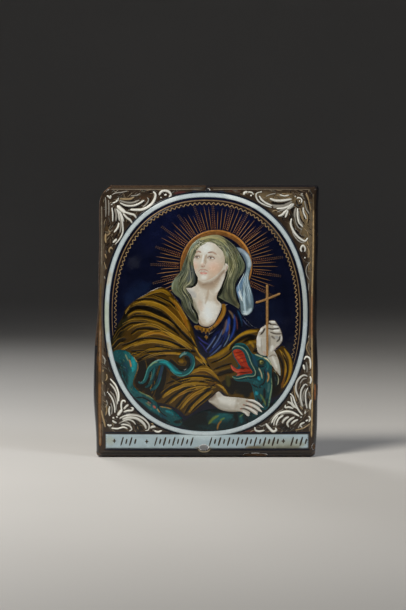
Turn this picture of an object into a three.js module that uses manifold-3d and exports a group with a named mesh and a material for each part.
// Painted enamel plaque: a domed copper plate with its edges turned back, enamelled on both sides.
// Millimetres, +Z up. The picture faces -Y, and the edge of the turned rim lies in the plane y = 0.
// The plate is worked out in its own u (right) and v (up), measured from its middle, and is then
// lowered so that the origin is on the rim at the middle of the top edge.
import * as THREE from 'three';
import { mergeVertices } from 'three/addons/utils/BufferGeometryUtils.js';
import Module from 'manifold-3d';

const wasm = await Module();
wasm.setup();

// Plate
const plateHeight = 135;
const wallThickness = 1.6;
const rollWidth = 2.8;
const flangeDepth = 4.6;
const domeRise = 6;
const cornerRadius = 2;
const domeHalfWidth = 55.4;
const domeHalfHeight = plateHeight / 2;

// Side edges: straight tapers between the top and bottom corners, with one soft bulge each
const sides = {
  left: { top: -52.8, bottom: -54.4, bulge: -1.2, bulgeHeight: -26, bulgeSpan: 30 },
  right: { top: 55.1, bottom: 54.0, bulge: 0.5, bulgeHeight: -24, bulgeSpan: 28 },
};
const handMadeWave = { depth: 0.12, length: 31 };

// Mesh steps
const sideSteps = 18;
const endSteps = 15;
const cornerSteps = 3;
const rollRings = [0, 0.08, 0.4, 1];
const faceRings = [0.86, 0.68, 0.46, 0.22];
const blobSteps = 36;
const ovalSteps = 56;
const haloSteps = 32;
const holeSteps = 10;
const mergeTolerance = 1e-4;
const sliverTolerance = 0.02;

// Raised work on the front
const enamelLift = { band: 0.3, tablet: 0.25, spray: 0.4, figure: 0.25, gilding: 0.35 };
const oval = { u: -0.15, v: 3.6, outerWidth: 50.2, outerHeight: 60.1, band: 2.3, power: 2.25 };
const tablet = { left: -50.0, right: 50.6, top: -55.7, bottom: -63.0 };
const halo = { u: 4.05, v: 28.0, radius: 16.8, line: 0.7 };
const cross = { foot: [30.2, -16.5], head: [30.1, 18.4], armLeft: [24.3, 9.8], armRight: [36.2, 13.8], width: 1.3 };
const sprayMirror = -0.2;
const strokeTaper = { thinnest: 0.35, start: 0.2, end: 0.9 };    // a stroke starts blunt and thins towards its tip

// Fixing holes and losses
const topHole = { u: 0.6, v: 64.8, width: 2, height: 2 };
const bottomHole = { u: -1.3, v: -62.4, width: 4.4, height: 2.7 };
const brokenCorner = [
  [-60, 70], [-60, 59], [-52.9, 59.4], [-52.0, 62.3], [-50.7, 64.2], [-48.6, 66.0], [-46.9, 68.2], [-46.9, 70],
];
const chips = [
  { name: 'bottom edge', u: 24.0, v: -66.9, depth: -4.3, size: [7.0, 1.7, 1.7] },
  { name: 'bottom right corner', u: 54.0, v: -62.2, depth: -4.2, size: [2.2, 1.7, 1.9] },
  { name: 'right edge', u: 54.9, v: -34.5, depth: -2.4, size: [0.9, 1.9, 4.0] },
  { name: 'right edge, upper', u: 55.3, v: 42.8, depth: -2.6, size: [0.8, 1.6, 1.6] },
];

// Acanthus sprays: each stroke is a half width and the points that its middle follows
const topSpray = [
  [0.7, [-42.9, 60.4], [-39.4, 60.6], [-36.0, 61.4]],
  [0.65, [-41.9, 58.7], [-38.4, 57.2], [-34.0, 58.2], [-30.5, 60.4]],
  [0.8, [-38.9, 56.2], [-33.0, 54.9], [-28.1, 57.2], [-25.6, 60.1], [-25.2, 62.6], [-27.1, 63.6], [-29.3, 62.9]],
  [1.3, [-44.6, 58.0], [-40.8, 54.6], [-38.2, 52.4]],
  [0.6, [-40.0, 54.6], [-36.6, 53.4], [-34.9, 51.4]],
  [0.55, [-43.6, 57.0], [-41.9, 53.2], [-40.7, 49.0]],
  [0.6, [-46.3, 56.7], [-46.1, 52.7], [-46.3, 48.8]],
  [0.65, [-44.9, 56.7], [-43.3, 52.2], [-43.8, 47.3], [-45.8, 44.1]],
  [0.85, [-43.9, 55.6], [-41.9, 51.2], [-41.3, 46.3], [-42.9, 41.4], [-46.3, 38.4]],
  [0.5, [-49.4, 60.0], [-49.2, 56.2], [-49.0, 51.7]],
  [0.9, [-48.4, 61.8], [-46.2, 59.6], [-44.3, 59.3]],
];
const bottomSpray = [
  [0.6, [-46.9, -47.8], [-47.6, -43.6]],
  [0.6, [-46.1, -46.9], [-46.3, -40.1], [-48.6, -35.2]],
  [0.6, [-45.1, -45.9], [-44.7, -39.6], [-46.1, -33.7], [-47.6, -30.8]],
  [0.6, [-43.7, -40.6], [-43.8, -34.9], [-45.6, -30.3], [-47.0, -28.4]],
  [0.7, [-43.9, -46.8], [-42.4, -43.4], [-41.8, -39.6]],
  [0.7, [-43.4, -46.6], [-39.9, -44.0], [-37.0, -43.9]],
  [1.0, [-44.4, -49.0], [-38.9, -46.6], [-34.0, -46.4], [-30.2, -49.0], [-28.9, -51.9], [-30.5, -53.6]],
  [0.7, [-43.4, -49.9], [-37.9, -49.4], [-34.7, -51.2]],
  [0.6, [-46.6, -52.0], [-43.9, -52.9], [-39.4, -52.7], [-36.8, -52.2]],
  [0.9, [-48.9, -51.4], [-46.2, -49.6], [-44.6, -48.8]],
];

// Broad areas of the painted figure and the beast under the cloak
const hairMass = [
  [-17, 19], [-15.4, 36], [-8, 42.5], [2, 43.6], [12, 41], [19.5, 33], [24.8, 18], [20.4, 3.4], [9, 14], [-6, 14],
];
const cloakMass = [
  [-13, 17], [-28, 14.6], [-37, 8.8], [-43, -0.2], [-46.5, -9], [-44, -15], [-33, -20], [-20.6, -31.2], [-13.2, -47],
  [4, -38], [15.4, -37.6], [21.4, -28.8], [27.3, -11.5], [36.2, -24.8], [42.6, -32.7], [44.6, -18.9], [38.6, -6.5],
  [38.1, 0], [32.2, 2.8], [24.3, -1.6], [17.9, 0], [16.4, 8.3], [9, 15.7], [-2, 17.5],
];
const beastMass = [
  [12.4, -13.5], [17.9, -15], [24.3, -13.5], [30.2, -18.9], [34.2, -26.3], [34.2, -38.6], [27.3, -44.6], [16.4, -48.5],
  [-0.9, -53.5], [-13.2, -51], [-28, -44.6], [-40.4, -34.7], [-46.3, -21.4], [-46.8, -14], [-40.4, -12], [-33, -15],
  [-34, -28.8], [-23.1, -36.2], [-8.3, -44.6], [4, -44.6], [18.9, -38.7], [23.8, -31.2], [16.4, -27.3], [11.5, -27.8],
];

// The left and right edges of the rim at height v, and the plate's outline moved in by a distance
function sideEdge(side, v) {
  const along = v / plateHeight + 0.5;
  const taper = THREE.MathUtils.lerp(side.bottom, side.top, along);
  const fromBulge = THREE.MathUtils.clamp((v - side.bulgeHeight) / side.bulgeSpan, -1, 1);
  const bulge = side.bulge * 0.5 * (1 + Math.cos(Math.PI * fromBulge));
  return taper + bulge + handMadeWave.depth * Math.sin((2 * Math.PI * v) / handMadeWave.length);
}

function outline(inset) {
  const points = [];
  const radius = cornerRadius + inset / 3;
  const top = plateHeight / 2 - inset;
  const corner = (side, sign, vertical, fromAngle) => {
    const centreV = vertical * (top - radius);
    const centreU = sideEdge(side, centreV) - sign * (inset + radius);
    for (let i = 0; i <= cornerSteps; i++) {
      const angle = fromAngle + (i / cornerSteps) * (Math.PI / 2);
      points.push([centreU + radius * Math.cos(angle), centreV + radius * Math.sin(angle)]);
    }
  };
  const between = (steps, place) => {
    for (let i = 1; i < steps; i++) points.push(place(i / steps));
  };
  const reach = top - radius;
  corner(sides.right, 1, -1, -Math.PI / 2);
  between(sideSteps, (t) => {
    const v = THREE.MathUtils.lerp(-reach, reach, t);
    return [sideEdge(sides.right, v) - inset, v];
  });
  corner(sides.right, 1, 1, 0);
  const topEnds = [sideEdge(sides.right, reach) - inset - radius, sideEdge(sides.left, reach) + inset + radius];
  between(endSteps, (t) => [THREE.MathUtils.lerp(topEnds[0], topEnds[1], t), top]);
  corner(sides.left, -1, 1, Math.PI / 2);
  between(sideSteps, (t) => {
    const v = THREE.MathUtils.lerp(reach, -reach, t);
    return [sideEdge(sides.left, v) + inset, v];
  });
  corner(sides.left, -1, -1, Math.PI);
  const bottomEnds = [sideEdge(sides.left, -reach) + inset + radius, sideEdge(sides.right, -reach) - inset - radius];
  between(endSteps, (t) => [THREE.MathUtils.lerp(bottomEnds[0], bottomEnds[1], t), -top]);
  return points;
}

// The plate: rings of points run in from the rim over the rolled edge and the dome, at the front and the back
function domeAt(u, v) {
  const across = 1 - Math.min(1, Math.abs(u) / domeHalfWidth) ** 2;
  const up = 1 - Math.min(1, Math.abs(v) / domeHalfHeight) ** 2;
  return domeRise * across * up;
}

function surfaceRings(firstInset, edgeDepth) {
  const rings = rollRings.map((share) => {
    const roll = Math.sqrt(1 - (1 - share) ** 2);
    return outline(firstInset + share * rollWidth).map(([u, v]) => [u, -roll * (edgeDepth + domeAt(u, v)), v]);
  });
  const flat = outline(firstInset + rollWidth);
  for (const share of faceRings) {
    rings.push(flat.map(([u, v]) => [u * share, -(edgeDepth + domeAt(u * share, v * share)), v * share]));
  }
  return rings;
}

function plateGeometry(lift, wall) {
  const positions = [];
  const faces = [];
  const addSurface = (rings, edgeDepth, facesFront) => {
    const count = rings[0].length;
    const first = positions.length / 3;
    rings.forEach((ring) => ring.forEach((point) => positions.push(...point)));
    positions.push(0, -(edgeDepth + domeAt(0, 0)), 0);
    const centre = positions.length / 3 - 1;
    const face = (a, b, c) => faces.push(...(facesFront ? [a, b, c] : [a, c, b]));
    for (let i = 0; i < count; i++) {
      const next = (i + 1) % count;
      for (let k = 0; k < rings.length - 1; k++) {
        const outer = first + k * count;
        const inner = outer + count;
        face(outer + i, outer + next, inner + next);
        face(outer + i, inner + next, inner + i);
      }
      const last = first + (rings.length - 1) * count;
      face(last + i, last + next, centre);
    }
    return first;
  };
  const front = addSurface(surfaceRings(0, flangeDepth + lift), flangeDepth + lift, true);
  const backDepth = flangeDepth - wall;
  const back = addSurface(surfaceRings(wall, backDepth), backDepth, false);
  const count = outline(0).length;
  for (let i = 0; i < count; i++) {
    const next = (i + 1) % count;
    faces.push(front + i, back + next, front + next);
    faces.push(front + i, back + i, back + next);
  }
  const geometry = new THREE.BufferGeometry();
  geometry.setAttribute('position', new THREE.Float32BufferAttribute(positions, 3));
  geometry.setIndex(faces);
  return geometry;
}

function toSolid(geometry) {
  geometry.deleteAttribute('normal');
  geometry.deleteAttribute('uv');
  const merged = mergeVertices(geometry, mergeTolerance);
  const mesh = new wasm.Mesh({
    numProp: 3,
    vertProperties: new Float32Array(merged.attributes.position.array),
    triVerts: new Uint32Array(merged.index.array),
  });
  return new wasm.Manifold(mesh);
}

// The solid with slivers under the tolerance merged away and its one real shell kept
function cleaned(solid) {
  const shells = solid.simplify(sliverTolerance).decompose();
  return shells.reduce((largest, shell) => (shell.volume() > largest.volume() ? shell : largest));
}

function toGeometry(solid) {
  const mesh = solid.getMesh();
  const geometry = new THREE.BufferGeometry();
  geometry.setAttribute('position', new THREE.Float32BufferAttribute(mesh.vertProperties, 3));
  geometry.setIndex(Array.from(mesh.triVerts));
  return geometry;
}

// Outlines in the plate's u and v, and prisms that run through the plate from front to back
function spline(points, closed, steps) {
  const curve = new THREE.CatmullRomCurve3(points.map(([u, v]) => new THREE.Vector3(u, v, 0)), closed, 'centripetal');
  return curve.getPoints(steps);
}

function blobShape(points) {
  return new THREE.Shape(spline(points, true, blobSteps).slice(0, -1));
}

function strokeShape(halfWidth, points) {
  const steps = 2 * (points.length - 1);
  const middle = spline(points, false, steps);
  const edge = (side) => middle.map((point, i) => {
    const before = middle[Math.max(i - 1, 0)];
    const after = middle[Math.min(i + 1, steps)];
    const along = after.clone().sub(before).normalize();
    const swell = Math.sin(Math.PI * Math.min(strokeTaper.end, strokeTaper.start + i / steps));
    const taper = halfWidth * THREE.MathUtils.lerp(strokeTaper.thinnest, 1, swell);
    return new THREE.Vector2(point.x - side * along.y * taper, point.y + side * along.x * taper);
  });
  return new THREE.Shape([...edge(-1), ...edge(1).reverse()]);
}

function ovalPoints(outset) {
  const points = [];
  for (let i = 0; i < ovalSteps; i++) {
    const angle = (2 * Math.PI * i) / ovalSteps;
    const across = Math.abs(Math.cos(angle) / (oval.outerWidth + outset)) ** oval.power;
    const up = Math.abs(Math.sin(angle) / (oval.outerHeight + outset)) ** oval.power;
    const radius = (across + up) ** (-1 / oval.power);
    points.push(new THREE.Vector2(oval.u + radius * Math.cos(angle), oval.v + radius * Math.sin(angle)));
  }
  return points;
}

function ringShape(outer, inner) {
  const shape = new THREE.Shape(outer);
  shape.holes.push(new THREE.Path(inner));
  return shape;
}

function circlePoints(place, radius) {
  const circle = new THREE.Path().absellipse(place.u, place.v, radius, radius, 0, 2 * Math.PI);
  return circle.getSpacedPoints(haloSteps).slice(0, -1);
}

function prism(shape) {
  const throughDepth = 40;
  const settings = { depth: throughDepth, bevelEnabled: false, curveSegments: holeSteps };
  const geometry = new THREE.ExtrudeGeometry(shape, settings);
  geometry.rotateX(Math.PI / 2);
  geometry.translate(0, throughDepth / 2, 0);
  return toSolid(geometry);
}

function mirrored(stroke) {
  const [halfWidth, ...points] = stroke;
  return [halfWidth, ...points.map(([u, v]) => [2 * sprayMirror - u, v])];
}

function raise(plate, shapes, lift, within) {
  const lifted = toSolid(plateGeometry(lift, wallThickness / 2));
  let result = plate;
  for (const shape of shapes) {
    let area = prism(shape);
    if (within) area = area.intersect(within);
    result = result.add(area.intersect(lifted));
  }
  return result;
}

function addPicture(plate) {
  const field = prism(new THREE.Shape(ovalPoints(-oval.band)));
  const figure = [blobShape(hairMass), blobShape(beastMass), blobShape(cloakMass)];
  const gilding = [
    ringShape(circlePoints(halo, halo.radius), circlePoints(halo, halo.radius - halo.line)),
    strokeShape(cross.width / 2, [cross.foot, cross.head]),
    strokeShape(cross.width / 2, [cross.armLeft, cross.armRight]),
  ];
  const painted = raise(plate, figure, enamelLift.figure, field);
  return raise(painted, gilding, enamelLift.gilding, field);
}

function addBorder(plate) {
  const band = ringShape(ovalPoints(0), ovalPoints(-oval.band));
  const { left, right, top, bottom } = tablet;
  const corners = [[left, bottom], [right, bottom], [right, top], [left, top]];
  const tabletShape = new THREE.Shape(corners.map(([u, v]) => new THREE.Vector2(u, v)));
  const strokes = [...topSpray, ...bottomSpray].flatMap((stroke) => [stroke, mirrored(stroke)]);
  const sprays = strokes.map(([halfWidth, ...points]) => strokeShape(halfWidth, points));
  const banded = raise(plate, [band], enamelLift.band);
  const withTablet = raise(banded, [tabletShape], enamelLift.tablet);
  return raise(withTablet, sprays, enamelLift.spray);
}

function holeShape(hole) {
  return new THREE.Shape().absellipse(hole.u, hole.v, hole.width / 2, hole.height / 2, 0, 2 * Math.PI);
}

function chipSolid(chip) {
  const geometry = new THREE.IcosahedronGeometry(1, 1);
  geometry.scale(...chip.size);
  geometry.translate(chip.u, chip.depth, chip.v);
  return toSolid(geometry);
}

function cutLosses(plate) {
  let result = plate.subtract(prism(holeShape(topHole))).subtract(prism(holeShape(bottomHole)));
  result = result.subtract(prism(new THREE.Shape(brokenCorner.map(([u, v]) => new THREE.Vector2(u, v)))));
  for (const chip of chips) result = result.subtract(chipSolid(chip));
  return result;
}

function enamelPlaque() {
  const plate = toSolid(plateGeometry(0, wallThickness));
  const geometry = toGeometry(cleaned(cutLosses(addBorder(addPicture(plate)))));
  geometry.translate(0, 0, -(plateHeight / 2 - wallThickness / 2));
  geometry.computeVertexNormals();
  const enamel = new THREE.MeshStandardMaterial({ color: 0x23242c, roughness: 0.15, metalness: 0 });
  const mesh = new THREE.Mesh(geometry, enamel);
  mesh.name = 'enamel_plaque';
  return mesh;
}

const group = new THREE.Group();
group.add(enamelPlaque());

export default group;
